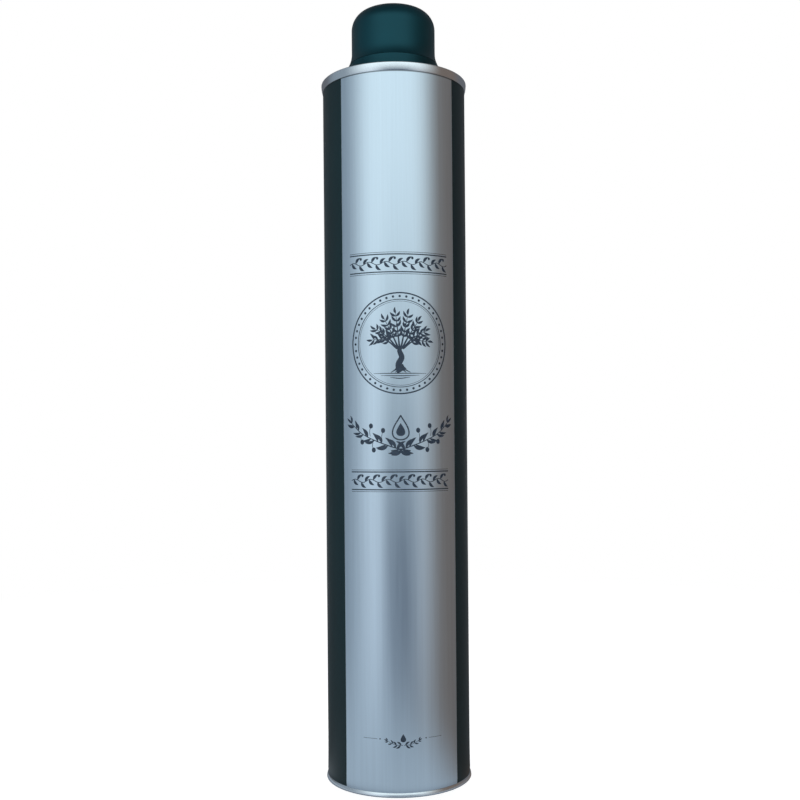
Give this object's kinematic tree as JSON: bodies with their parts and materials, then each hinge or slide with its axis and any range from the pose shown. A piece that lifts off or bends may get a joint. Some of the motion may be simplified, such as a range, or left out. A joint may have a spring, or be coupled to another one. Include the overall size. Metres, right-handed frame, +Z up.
{
  "type": "oil tin with pull-up spout",
  "caption": "Tall round tinplate oil tin with double-seamed ends, a pull-up pouring spout in a pressed-on collar, and a domed screw cap with a tamper band.",
  "frame": {"origin": "centre of the base, on the plane of the bottom seam's rim", "axes": "+Z up the tin's axis to the cap; -Y is the middle of the front panel, +Y the side seam at the back"},
  "size_m": [0.0538, 0.0538, 0.2853],
  "materials": {
    "printed_tinplate": "satin lacquered print, silver front panel on dark green",
    "end_tinplate": "bright tinplate",
    "seam_compound": "soft lining compound",
    "gasket_rubber": "matt",
    "green_plastic": "satin moulded, very dark green",
    "pourer_plastic": "natural moulded polyethylene",
    "liner_foam": "closed-cell foam"
  },
  "bodies": {
    "tin": {"tin_body": "printed_tinplate", "top_end": "end_tinplate", "bottom_end": "end_tinplate", "top_seam_compound": "seam_compound", "bottom_seam_compound": "seam_compound", "spout_collar": "green_plastic", "neck_gasket": "gasket_rubber", "tamper_band": "green_plastic"},
    "spout": {"pour_spout": "green_plastic", "pourer_insert": "pourer_plastic", "air_tube": "pourer_plastic"},
    "liner": {"cap_liner": "liner_foam"},
    "cap": {"cap_inner": "pourer_plastic", "cap_shell": "green_plastic"}
  },
  "joints": [
    {"name": "spout_pull", "type": "slide", "parent": "tin", "child": "spout", "axis": [0, 0, 1], "range_m": [0, 0.014]},
    {"name": "cap_rise", "type": "slide", "parent": "spout", "child": "liner", "axis": [0, 0, 1], "range_m": [0, 0.016]},
    {"name": "cap_turn", "type": "hinge", "parent": "liner", "child": "cap", "pos_m": [0, 0, 0.272], "axis": [0, 0, 1], "range_deg": [0, 1440]}
  ],
  "couplings": [
    {"joint": "cap_rise", "follows": "cap_turn", "m_per_rad": 0.00063662}
  ]
}
